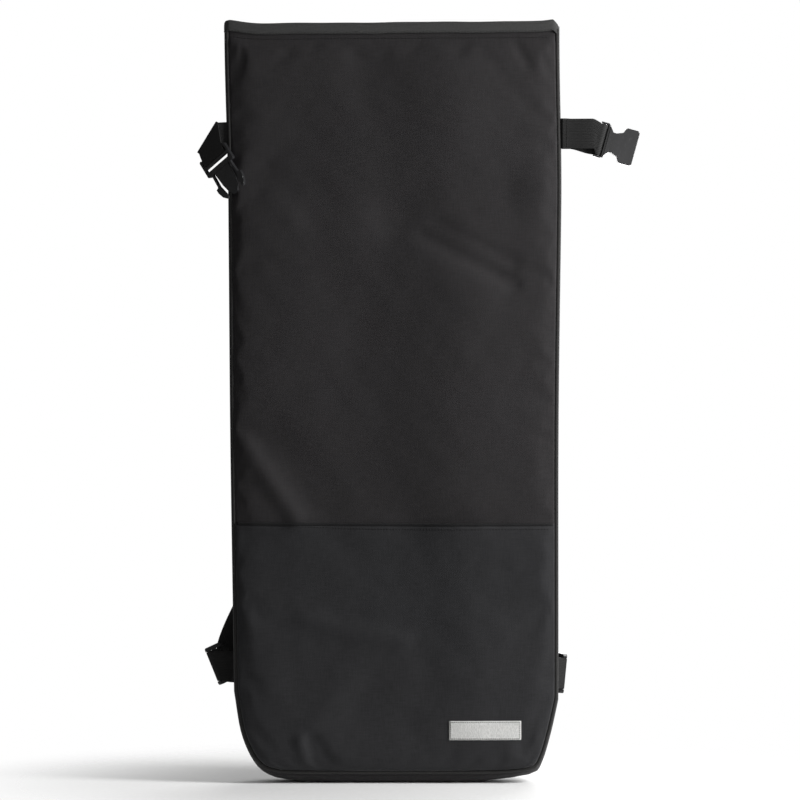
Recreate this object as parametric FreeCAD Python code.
"""Padded gig bag with a fold-over top, closing straps, shoulder straps and a grab handle.

Frame: +Z up, the bag's front faces -Y, +X is on the right of somebody who looks at the front.
The origin is the centre of the bottom, where the bag stands. Lengths are in millimetres.
"""
import FreeCAD, Part
import math
import os

Vec = FreeCAD.Vector

# ---------------------------------------------------------------- driving dimensions: the bag
HEIGHT = 950.0
HALF_WIDTH_BOTTOM = 200.5
HALF_WIDTH_TOP = 208.0
DEPTH_BOTTOM = 84.0
DEPTH_TOP = 60.0
CORNER_RADIUS = 58.0
FOLD_HEIGHT = 841.0         # the top section above this height folds over to the front
FOLD_GAP = 1.0

FABRIC = 1.0
FOAM = 6.0
LINING = 1.0
WALL = FABRIC + FOAM + LINING
PIPING = 5.0
BINDING = 1.2
BINDING_HEIGHT = 12.5

POCKET_HEIGHT = 323.0
POCKET_CLOTH = 1.2
POCKET_GAP = 1.2
POCKET_SEAM = 3.0
HEM_HEIGHT = 10.0
HEM_CLOTH = 0.8
LABEL_CENTRE = (115.0, 67.0)
LABEL_SIZE = (90.0, 24.0)

# ---------------------------------------------------------------- driving dimensions: webbing
WEB_WIDTH = 38.0
WEB = 1.6
HINGE_GAP = 1.0             # free webbing and its stub both end this far from their bend
BAR = 2.0                   # radius of the round bars that webbing loops over
RUNNING = 0.05              # clearance of a loop on its bar and of a knuckle in its socket

CLOSURE_Y = -28.0           # the closing straps are sewn into the front seam
RIGHT_BEND_X = 215.5
RIGHT_STRAP_Z = 813.5
FEMALE_BAR = Vec(259.5, CLOSURE_Y, 806.0)
FEMALE_DROOP = 15.5

LEFT_BEND_X = -213.5
LEFT_DROOP = 3.0
TURN_CENTRE = Vec(-231.2, CLOSURE_Y - 2.2, 807.6)   # where the left strap is turned over
TURN_SLOPE = 58.8
TURN_SPACING = 4.4
MALE_BAR = Vec(-224.5, -35.5, 786.5)
MALE_AXIS = Vec(0.52, -0.23, -0.853)
MALE_ROLL = 30.0

# ---------------------------------------------------------------- driving dimensions: buckles
BUCKLE_HALF_WIDTH = 23.0
BUCKLE_THICKNESS = 5.0
EAR_HALF_GAP = 20.2
EAR_BACK = -3.5
SHOULDER_S = 21.0
KNUCKLE = (20.0, 16.0)
KNUCKLE_RADIUS = 2.0
TONGUE_END = 57.0
TONGUE_HALF_WIDTH = 12.5
TONGUE_THICKNESS = 3.6
PRONG_THICKNESS = 4.6
FRAME_CORNER = 2.5
FRAME_SLOTS = ((EAR_BACK - 1.0, 7.0), (10.0, 14.5))     # either side of the locking bar
FEMALE_THICKNESS = 11.0
FEMALE_EAR_THICKNESS = 6.0
FEMALE_HALF_WIDTH = 22.5
FEMALE_LENGTH = 46.0
FEMALE_WAIST = 12.5
FEMALE_THROAT = 15.5
FEMALE_SLOT = 6.5
FEMALE_EAR_LENGTH = 9.0
LIP = (3.4, -2.5, 1.0)      # start, depth and thickness of the lip that closes the slot behind
SOCKET = (14.0, 20.0, 7.0)  # start, half width and thickness of the room for the prongs

# ---------------------------------------------------------------- driving dimensions: shoulder straps
TAB_Z = {-1: 145.0, 1: 134.0}        # the left tab is sewn in a little higher than the right one
TAB_Y = 36.5
TAB_LENGTH = 21.0
TAB_GAP = 2.5
LOCK_BAR = 2.5
LOCK_HALF_WIDTH = 25.0
LOCK_HALF_GAP = 20.0
GRIP_S = 24.0
LOCK_BACK = -4.5
LOCK_END = GRIP_S + 3.0
LOCK_CORNER = 3.0
LOCK_SLOTS = ((LOCK_BACK - 1.5, 8.5), (13.0, LOCK_END + 3.0))      # either side of its middle rail
LOCK_DROP = 3.0             # the lock's weight pulls its bar this far below the tab's middle
STRAP_TWIST = 1.8           # it has turned flat at 1 / 1.8 of its length
STRAP_LEAD = 10.0           # the lower strap leaves the lock straight for this far, then rises
PAD_WIDTH = 60.0
PAD_THICKNESS = 12.0
PAD_TOP = Vec(65.0, 9.0, 770.0)      # y is counted from the back panel
PAD_END = Vec(80.0, 11.0, 385.0)
PAD_ARCH = 26.0
PAD_BOW = 8.0
PAD_END_GAP = 8.0
YOKE = (100.0, 742.0, 782.0)
YOKE_CLOTH = 1.5

# How each side's ladder lock hangs: bar lean, turn of the tab to the back, angle of the lock to
# the tab, and how strongly the lower strap turns up behind the lock. The two sides rest
# differently, as loose webbing does.
HANG = {-1: (22.0, 0.0, 57.0, 90.0), 1: (5.5, 60.0, 69.0, 0.0)}

# ---------------------------------------------------------------- driving dimensions: grab handle
HANDLE_HALF_SPAN = 50.0
HANDLE_REACH = 45.0
HANDLE_WEB_WIDTH = 25.0
HANDLE_DROOP = 15.0
HANDLE_AXIS_Z = 809.5
HANDLE_AXIS_OUT = 2.6
HANDLE_ANCHOR = (812.0, 836.0)

FRONT = -1
BACK = 1
FAR = 400.0
OVER = 20.0
X_AXIS = Vec(1, 0, 0)
Y_AXIS = Vec(0, 1, 0)
Z_AXIS = Vec(0, 0, 1)


# ---------------------------------------------------------------- small geometry helpers
def unit(vector):
    result = Vec(vector)
    result.normalize()
    return result


def cosine(degrees):
    return math.cos(math.radians(degrees))


def sine(degrees):
    return math.sin(math.radians(degrees))


def mix(first, second, share):
    return first * (1.0 - share) + second * share


def square_to(vector, direction):
    """The part of a vector that is at right angles to a unit direction, as a unit vector."""
    return unit(vector - direction * vector.dot(direction))


def polygon_face(points):
    return Part.Face(Part.makePolygon(points + [points[0]]))


def box_between(low, high):
    size = high - low
    return Part.makeBox(size.x, size.y, size.z, low)


def heights(shape, low, high):
    return shape.common(box_between(Vec(-FAR, -FAR, low), Vec(FAR, FAR, high)))


def rod(centre, direction, radius, length):
    start = centre - direction * (length / 2.0)
    return Part.makeCylinder(radius, length, start, direction)


def placed(shape, origin, along, across):
    """Move a shape from its own axes (X along, Y across) to a place in the bag's frame."""
    normal = along.cross(across)
    matrix = FreeCAD.Matrix(
        along.x, across.x, normal.x, origin.x,
        along.y, across.y, normal.y, origin.y,
        along.z, across.z, normal.z, origin.z,
        0.0, 0.0, 0.0, 1.0,
    )
    result = shape.copy()
    result.Placement = FreeCAD.Placement(matrix)
    return result


def plate(points, thickness):
    """A flat plate in the XY plane from its outline, centred on that plane."""
    corners = [Vec(x, y, -thickness / 2.0) for x, y in points]
    return polygon_face(corners).extrude(Vec(0, 0, thickness))


def mirrored_outline(points):
    """A closed outline from its half on the +Y side, listed with X rising."""
    return points + [(x, -y) for x, y in reversed(points)]


def block(low_x, high_x, half_y, thickness):
    return plate(mirrored_outline([(low_x, half_y), (high_x, half_y)]), thickness)


def rounded(shape, radius):
    """Round the corners of a plate, which are its edges along Z."""
    corners = [e for e in shape.Edges if abs(abs(e.tangentAt(e.FirstParameter).z) - 1.0) < 1e-6]
    return shape.makeFillet(radius, corners)


def section(centre, width_direction, thickness_direction, width, thickness):
    """A rectangular cross-section of webbing or padding."""
    across = width_direction * (width / 2.0)
    through = thickness_direction * (thickness / 2.0)
    corners = [
        centre - across - through,
        centre + across - through,
        centre + across + through,
        centre - across + through,
    ]
    return Part.makePolygon(corners + [corners[0]])


def ribbon(centres, widths, width, thickness):
    """A strip that runs through the given centres, its width lying along the given directions."""
    wires = []
    last = len(centres) - 1
    for i, centre in enumerate(centres):
        tangent = unit(centres[min(i + 1, last)] - centres[max(i - 1, 0)])
        across = square_to(widths[i], tangent)
        wires.append(section(centre, across, tangent.cross(across), width, thickness))
    return Part.makeLoft(wires, True, True)


# ---------------------------------------------------------------- the bag's form
def half_width(height):
    return HALF_WIDTH_BOTTOM + (HALF_WIDTH_TOP - HALF_WIDTH_BOTTOM) * height / HEIGHT


def half_depth(height):
    return (DEPTH_BOTTOM + (DEPTH_TOP - DEPTH_BOTTOM) * height / HEIGHT) / 2.0


def outline_prism(inset):
    """The front outline, shrunk by an inset, run through the whole depth. Its top is open."""
    low = inset
    high = HEIGHT + OVER
    corners = []
    for height, side in ((low, -1), (low, 1), (high, 1), (high, -1)):
        corners.append(Vec(side * (half_width(height) - inset), -FAR / 2.0, height))
    prism = polygon_face(corners).extrude(Vec(0, FAR, 0))
    bottom = []
    for edge in prism.Edges:
        level = edge.CenterOfMass.z < low + 0.1
        if level and abs(edge.tangentAt(edge.FirstParameter).y) > 0.9:
            bottom.append(edge)
    return prism.makeFillet(CORNER_RADIUS - inset, bottom)


def slab(side, outer, inner):
    """A sheet of space that follows the front or the back, between two depths below its face."""
    corners = []
    for height, inset in ((-OVER, outer), (HEIGHT + OVER, outer), (HEIGHT + OVER, inner), (-OVER, inner)):
        corners.append(Vec(-FAR, side * (half_depth(height) - inset), height))
    return polygon_face(corners).extrude(Vec(2 * FAR, 0, 0))


def form(inset):
    """The whole bag's form, shrunk by an inset, with its top left open."""
    corners = []
    for height, side in ((-OVER, -1), (-OVER, 1), (HEIGHT + OVER, 1), (HEIGHT + OVER, -1)):
        corners.append(Vec(-FAR, side * (half_depth(height) - inset), height))
    profile = polygon_face(corners).extrude(Vec(2 * FAR, 0, 0))
    return outline_prism(inset).common(profile)


def panel(side, outer, inner):
    return outline_prism(outer).common(slab(side, outer, inner))


def gusset_band(outer, inner):
    """The sides and the bottom, between the front and the back panel of one layer."""
    band = form(outer).cut(form(inner))
    for side in (FRONT, BACK):
        band = band.cut(slab(side, outer - 1.0, inner))
    return band


def piping(side):
    ring = outline_prism(0.0).cut(outline_prism(PIPING))
    return ring.common(slab(side, 0.0, PIPING))


def shell_pieces():
    """Every layer of the padded walls at full height, by name."""
    pipes = {"front_piping": piping(FRONT), "back_piping": piping(BACK)}
    layers = (
        ("", 0.0, FABRIC),
        ("_foam", FABRIC, FABRIC + FOAM),
        ("_lining", FABRIC + FOAM, WALL),
    )
    pieces = {}
    for suffix, outer, inner in layers:
        sheets = {
            "front" + (suffix or "_panel"): panel(FRONT, outer, inner),
            "back" + (suffix or "_panel"): panel(BACK, outer, inner),
            "gusset" + suffix: gusset_band(outer, inner),
        }
        for name, sheet in sheets.items():
            for pipe in pipes.values():
                sheet = sheet.cut(pipe)
            pieces[name] = sheet
    pieces.update(pipes)
    return pieces


def mouth_binding():
    """Tape folded over the rim of the mouth, outside, on top and inside."""
    collar = heights(form(-BINDING), HEIGHT - BINDING_HEIGHT, HEIGHT + BINDING)
    collar = collar.cut(form(WALL + BINDING))
    wall = form(0.0).cut(form(WALL))
    return collar.cut(heights(wall, 0.0, HEIGHT))


def pocket_panel():
    """A flat tray of cloth on the lower front, sewn down on three sides and open at its top."""
    front = -(POCKET_CLOTH + POCKET_GAP)
    tray = outline_prism(PIPING).common(slab(FRONT, front, 0.0))
    room = outline_prism(PIPING + POCKET_SEAM).common(slab(FRONT, -POCKET_GAP, 0.0))
    return heights(tray.cut(room), 0.0, POCKET_HEIGHT)


def on_pocket(region, thickness):
    front = -(POCKET_CLOTH + POCKET_GAP)
    return region.common(slab(FRONT, front - thickness, front))


def pocket_hem():
    strip = heights(outline_prism(PIPING), POCKET_HEIGHT - HEM_HEIGHT, POCKET_HEIGHT)
    return on_pocket(strip, HEM_CLOTH)


def label_patch():
    x, z = LABEL_CENTRE
    width, height = LABEL_SIZE
    low = Vec(x - width / 2.0, -FAR, z - height / 2.0)
    high = Vec(x + width / 2.0, 0.0, z + height / 2.0)
    return on_pocket(box_between(low, high), HEM_CLOTH)


# ---------------------------------------------------------------- webbing ends
def stub(side, end_x, centre_y, centre_z, width):
    """The root of a strap that stands out of a side seam, with its end at end_x."""
    low = Vec(min(side * FAR / 4.0, end_x), centre_y - WEB / 2.0, centre_z - width / 2.0)
    high = Vec(max(side * FAR / 4.0, end_x), centre_y + WEB / 2.0, centre_z + width / 2.0)
    return box_between(low, high).cut(outline_prism(0.0))


def looped(strip, centre, direction, bar):
    """Add a loop round a bar to the end of a strip, and leave the bar its running clearance."""
    outer = bar + RUNNING + WEB
    loop = rod(centre, direction, outer, WEB_WIDTH)
    return strip.fuse(loop).cut(rod(centre, direction, bar + RUNNING, 2 * WEB_WIDTH))


def to_loop(start, start_width, centre, direction, bar):
    """Webbing from a bend to a bar: one ply, then two plies where the end is sewn back on itself."""
    run = centre - start
    end = centre - unit(run) * bar
    split = 0.45
    step = 0.02
    wires = [section(start, unit(start_width), unit(run.cross(start_width)), start_width.Length, WEB)]
    for share, thickness in ((split, WEB), (split + step, 2 * WEB), (1.0, 2 * WEB)):
        across = unit(mix(unit(start_width), direction, share))
        normal = unit(run.cross(across))
        wires.append(section(mix(start, end, share), across, normal, WEB_WIDTH, thickness))
    return looped(Part.makeLoft(wires, True, True), centre, direction, bar)


# ---------------------------------------------------------------- side-release buckle
def female_axes():
    """Along the female half, away from the bag, and along its bar, upwards."""
    along = Vec(cosine(FEMALE_DROOP), 0.0, -sine(FEMALE_DROOP))
    bar = Vec(sine(FEMALE_DROOP), 0.0, cosine(FEMALE_DROOP))
    return along, bar


def male_axes():
    """Along the male half towards its tip, and across it towards its right-hand side."""
    along = unit(MALE_AXIS)
    level = unit(Vec(-along.z, 0.0, along.x))
    forward = unit(along.cross(level))
    across = level * cosine(MALE_ROLL) + forward * sine(MALE_ROLL)
    return along, square_to(across, along)


def cross_bar(s, radius, half_width_of_frame):
    return rod(Vec(s, 0, 0), Y_AXIS, radius, 2 * half_width_of_frame - 2.0)


def female_buckle():
    half = [
        (EAR_BACK, FEMALE_HALF_WIDTH),
        (FEMALE_SLOT, FEMALE_HALF_WIDTH),
        (14.0, FEMALE_WAIST),
        (18.0, FEMALE_WAIST),
        (26.0, FEMALE_THROAT),
        (28.0, FEMALE_HALF_WIDTH - 2.0),
        (30.0, FEMALE_HALF_WIDTH),
        (FEMALE_LENGTH - 2.5, FEMALE_HALF_WIDTH),
        (FEMALE_LENGTH, FEMALE_HALF_WIDTH - 2.5),
    ]
    ear_start = EAR_BACK - 1.0
    wide = FEMALE_HALF_WIDTH + 1.0
    lip_start, lip_depth, lip_thickness = LIP
    socket_start, socket_half, socket_thickness = SOCKET
    body = plate(mirrored_outline(half), FEMALE_THICKNESS)
    ears = block(ear_start, FEMALE_EAR_LENGTH, wide, FEMALE_THICKNESS)
    thin = block(ear_start, FEMALE_EAR_LENGTH, wide, FEMALE_EAR_THICKNESS)
    body = body.cut(ears.cut(thin))
    body = body.cut(block(ear_start, FEMALE_SLOT, EAR_HALF_GAP, FEMALE_THICKNESS))
    lip = block(lip_start, FEMALE_EAR_LENGTH, EAR_HALF_GAP + 1.0, lip_thickness)
    body = body.fuse(lip.translated(Vec(0, 0, lip_depth)))
    body = body.cut(block(socket_start, FEMALE_LENGTH + 1.0, socket_half, socket_thickness))
    body = body.fuse(cross_bar(0.0, BAR, FEMALE_HALF_WIDTH))
    along, bar = female_axes()
    return placed(body, FEMALE_BAR, along, bar)


def male_frame():
    """Frame with its end bar, a locking bar, a shoulder that holds the prongs, and a tongue."""
    frame = rounded(block(EAR_BACK, SHOULDER_S, BUCKLE_HALF_WIDTH, BUCKLE_THICKNESS), FRAME_CORNER)
    for start, end in FRAME_SLOTS:
        frame = frame.cut(block(start, end, EAR_HALF_GAP, FEMALE_THICKNESS))
    frame = frame.fuse(cross_bar(0.0, BAR, BUCKLE_HALF_WIDTH))
    half = [
        (SHOULDER_S - 1.0, TONGUE_HALF_WIDTH),
        (TONGUE_END - 17.0, TONGUE_HALF_WIDTH - 2.0),
        (TONGUE_END - 7.0, TONGUE_HALF_WIDTH - 4.5),
        (TONGUE_END, TONGUE_HALF_WIDTH - 8.5),
    ]
    frame = frame.fuse(plate(mirrored_outline(half), TONGUE_THICKNESS))
    for side in (-1, 1):
        centre = Vec(KNUCKLE[0], side * KNUCKLE[1], 0)
        frame = frame.cut(rod(centre, Z_AXIS, KNUCKLE_RADIUS + RUNNING, FEMALE_THICKNESS))
    return frame


def prong(side):
    """Springy arm with a catch, on a knuckle that stands for its moulded root."""
    root_s, root_w = KNUCKLE
    half_arm = 1.3
    catch_s = 38.0
    outline = [
        (root_s, root_w - half_arm),
        (catch_s, root_w - 0.4),
        (catch_s + 12.0, root_w - 3.0),
        (catch_s + 17.0, root_w - 3.4),
        (catch_s + 19.0, root_w - 1.5),
        (catch_s + 14.0, root_w + 3.2),
        (catch_s + 6.0, root_w + 6.0),
        (catch_s + 1.0, root_w + 6.0),
        (catch_s, root_w + 2.2),
        (root_s, root_w + half_arm),
    ]
    arm = plate([(s, side * w) for s, w in outline], PRONG_THICKNESS)
    knuckle = rod(Vec(root_s, side * root_w, 0), Z_AXIS, KNUCKLE_RADIUS, PRONG_THICKNESS)
    return arm.fuse(knuckle)


def on_male(shape):
    along, across = male_axes()
    return placed(shape, MALE_BAR, along, across)


# ---------------------------------------------------------------- closing straps
def right_closure_stub():
    return stub(1, RIGHT_BEND_X - HINGE_GAP, CLOSURE_Y, RIGHT_STRAP_Z, WEB_WIDTH)


def right_closure_webbing():
    start = Vec(RIGHT_BEND_X + HINGE_GAP, CLOSURE_Y, RIGHT_STRAP_Z)
    bar = female_axes()[1]
    return to_loop(start, Z_AXIS * WEB_WIDTH, FEMALE_BAR, bar, BAR)


def turn_line():
    """Direction of the diagonal turn, down and away from the bag."""
    return Vec(-cosine(TURN_SLOPE), 0.0, -sine(TURN_SLOPE))


def turn_ends(y):
    """Upper and lower end of the turn, where it crosses the strap's two edges."""
    up = Vec(-sine(LEFT_DROOP), 0.0, cosine(LEFT_DROOP))
    line = turn_line()
    reach = (WEB_WIDTH / 2.0) / line.dot(up)
    centre = Vec(TURN_CENTRE.x, y, TURN_CENTRE.z)
    return centre + line * reach, centre - line * reach


def left_strap_z(x):
    return TURN_CENTRE.z + (x - TURN_CENTRE.x) * math.tan(math.radians(LEFT_DROOP))


def left_closure_stub():
    end = LEFT_BEND_X + HINGE_GAP
    return stub(-1, end, CLOSURE_Y, left_strap_z(end), WEB_WIDTH)


def left_closure_webbing():
    """The strap from its seam to the diagonal turn."""
    y = CLOSURE_Y - WEB / 2.0
    start = LEFT_BEND_X - HINGE_GAP
    upper, lower = turn_ends(y)
    middle = left_strap_z(start)
    corners = [
        Vec(start, y, middle + WEB_WIDTH / 2.0),
        upper,
        lower,
        Vec(start, y, middle - WEB_WIDTH / 2.0),
    ]
    return polygon_face(corners).extrude(Vec(0, WEB, 0))


def left_turned_webbing():
    """The strap from the diagonal turn, in front of the first run, to the male half's bar."""
    upper, lower = turn_ends(CLOSURE_Y - TURN_SPACING)
    start = mix(upper, lower, 0.5)
    return to_loop(start, upper - lower, MALE_BAR, male_axes()[1], BAR)


# ---------------------------------------------------------------- shoulder straps
def hang_axes(side):
    """Bar direction, the ladder lock's direction away from its tab, and the tab's direction."""
    lean, turn, fold, _ = HANG[side]
    bar = Vec(side * sine(lean), 0.0, cosine(lean))
    inward = Vec(-side * cosine(lean), 0.0, sine(lean))
    along = inward * cosine(fold) + Y_AXIS * sine(fold)
    tab = Vec(side * cosine(turn), sine(turn), 0.0)
    return bar, along, tab


def tab_seam(side):
    """X of the side seam that a tab is sewn into, at the tab's height, with its cloth's thickness."""
    return side * (half_width(TAB_Z[side]) + FABRIC)


def tab_root(side):
    return Vec(tab_seam(side) + side * TAB_GAP, TAB_Y, TAB_Z[side])


def lock_bar(side):
    return tab_root(side) + hang_axes(side)[2] * TAB_LENGTH - Z_AXIS * LOCK_DROP


def grip_bar(side):
    return lock_bar(side) + hang_axes(side)[1] * GRIP_S


def tab_stub(side):
    return stub(side, tab_seam(side), TAB_Y, TAB_Z[side], WEB_WIDTH)


def tab_loop(side):
    bar = hang_axes(side)[0]
    return to_loop(tab_root(side), Z_AXIS * WEB_WIDTH, lock_bar(side), bar, LOCK_BAR)


def ladder_lock(side):
    bar, along, _ = hang_axes(side)
    frame = rounded(block(LOCK_BACK, LOCK_END, LOCK_HALF_WIDTH, BUCKLE_THICKNESS), LOCK_CORNER)
    for start, end in LOCK_SLOTS:
        frame = frame.cut(block(start, end, LOCK_HALF_GAP, FEMALE_THICKNESS))
    frame = frame.fuse(cross_bar(0.0, LOCK_BAR, LOCK_HALF_WIDTH))
    frame = frame.fuse(cross_bar(GRIP_S, BAR, LOCK_HALF_WIDTH))
    return placed(frame, lock_bar(side), along, bar)


def pad_line(side, share):
    """Centre of the shoulder pad, from its sewn top at 0 to its lower end at 1."""
    height = mix(PAD_TOP.z, PAD_END.z, share)
    arch = math.sin(math.pi * share)
    x = mix(PAD_TOP.x, PAD_END.x, share) - PAD_BOW * arch
    y = half_depth(height) + mix(PAD_TOP.y, PAD_END.y, share) + PAD_ARCH * arch
    return Vec(side * x, y, height)


def pad_body(side, trim):
    """The pad's form, or the form of its filling when trimmed by the cover's thickness."""
    steps = 10
    ends = trim / (PAD_TOP.z - PAD_END.z)
    shares = [ends + (1.0 - 2 * ends) * i / steps for i in range(steps + 1)]
    centres = [pad_line(side, share) for share in shares]
    widths = [X_AXIS] * len(centres)
    return ribbon(centres, widths, PAD_WIDTH - 2 * trim, PAD_THICKNESS - 2 * trim)


def pad_cover(side):
    return pad_body(side, 0.0).cut(pad_body(side, FABRIC))


def strap_curve(side, share):
    """Webbing centre line from just behind the ladder lock up to the pad's lower end."""
    along = hang_axes(side)[1]
    start = grip_bar(side) + along * STRAP_LEAD
    end = pad_line(side, 1.0) - Z_AXIS * PAD_END_GAP
    start_pull = along * 80.0 + Z_AXIS * HANG[side][3]
    end_pull = Vec(-side * 90.0, 0.0, 180.0)
    a = 2 * share ** 3 - 3 * share ** 2 + 1
    b = share ** 3 - 2 * share ** 2 + share
    c = -2 * share ** 3 + 3 * share ** 2
    d = share ** 3 - share ** 2
    return start * a + start_pull * b + end * c + end_pull * d


def shoulder_webbing(side):
    """Lower strap: it rises from the ladder lock to the pad and turns flat on its way."""
    steps = 20
    bar = hang_axes(side)[0]
    flat = unit(Vec(side * 0.95, 0.0, 0.3))
    centres = [grip_bar(side) + hang_axes(side)[1] * BAR]
    widths = [bar]
    for i in range(steps + 1):
        share = i / steps
        centres.append(strap_curve(side, share))
        widths.append(unit(mix(bar, flat, min(1.0, STRAP_TWIST * share))))
    strip = ribbon(centres, widths, WEB_WIDTH, WEB)
    return looped(strip, grip_bar(side), bar, BAR)


# ---------------------------------------------------------------- grab handle and back patches
def yoke_patch():
    half, low, high = YOKE
    region = box_between(Vec(-half, 0, low), Vec(half, FAR, high))
    return region.common(slab(BACK, -YOKE_CLOTH, 0.0))


def handle_anchors():
    low, high = HANDLE_ANCHOR
    solids = []
    for side in (-1, 1):
        centre = side * HANDLE_HALF_SPAN
        half = HANDLE_WEB_WIDTH / 2.0
        region = box_between(Vec(centre - half, 0, low), Vec(centre + half, FAR, high))
        solids.append(region.common(slab(BACK, -WEB, 0.0)))
    return Part.Compound(solids)


def handle_axis():
    return Vec(0.0, half_depth(HANDLE_AXIS_Z) + HANDLE_AXIS_OUT, HANDLE_AXIS_Z)


def grab_handle():
    """A webbing loop that leaves the back flat, twists, and lies on edge in the hand."""
    steps = 24
    outward = Vec(0.0, cosine(HANDLE_DROOP), -sine(HANDLE_DROOP))
    normal = Vec(0.0, sine(HANDLE_DROOP), cosine(HANDLE_DROOP))
    origin = handle_axis() + outward * HINGE_GAP
    centres = []
    widths = []
    for i in range(steps + 1):
        angle = 180.0 * i / steps
        centres.append(
            origin
            + X_AXIS * (HANDLE_HALF_SPAN * cosine(angle))
            + outward * (HANDLE_REACH * sine(angle))
        )
        widths.append(X_AXIS * cosine(angle) + normal * sine(angle))
    return ribbon(centres, widths, HANDLE_WEB_WIDTH, WEB)


# ---------------------------------------------------------------- assembly
def all_nodes():
    nodes = {}
    for name, piece in shell_pieces().items():
        nodes[name] = heights(piece, -OVER, FOLD_HEIGHT - FOLD_GAP / 2.0)
        nodes["fold_" + name] = heights(piece, FOLD_HEIGHT + FOLD_GAP / 2.0, HEIGHT)
    nodes["mouth_binding"] = mouth_binding()
    nodes["pocket_panel"] = pocket_panel()
    nodes["pocket_hem"] = pocket_hem()
    nodes["label_patch"] = label_patch()
    nodes["yoke_patch"] = yoke_patch()
    nodes["handle_anchors"] = handle_anchors()
    nodes["grab_handle"] = grab_handle()
    nodes["right_closure_stub"] = right_closure_stub()
    nodes["right_closure_webbing"] = right_closure_webbing()
    nodes["female_buckle"] = female_buckle()
    nodes["left_closure_stub"] = left_closure_stub()
    nodes["left_closure_webbing"] = left_closure_webbing()
    nodes["left_turned_webbing"] = left_turned_webbing()
    nodes["male_buckle"] = on_male(male_frame())
    nodes["male_left_prong"] = on_male(prong(-1))
    nodes["male_right_prong"] = on_male(prong(1))
    for side, word in ((-1, "left"), (1, "right")):
        nodes[word + "_tab_stub"] = tab_stub(side)
        nodes[word + "_tab_loop"] = tab_loop(side)
        nodes[word + "_ladder_lock"] = ladder_lock(side)
        nodes[word + "_shoulder_webbing"] = shoulder_webbing(side)
        nodes[word + "_pad_cover"] = pad_cover(side)
        nodes[word + "_pad_foam"] = pad_body(side, FABRIC)
    return nodes


def solid_only(shape):
    solids = shape.Solids
    return solids[0] if len(solids) == 1 else Part.Compound(solids)


def main():
    os.makedirs("parts", exist_ok=True)
    for name, shape in all_nodes().items():
        solid_only(shape).exportStep(os.path.join("parts", name + ".step"))


if __name__ == "__main__":
    main()
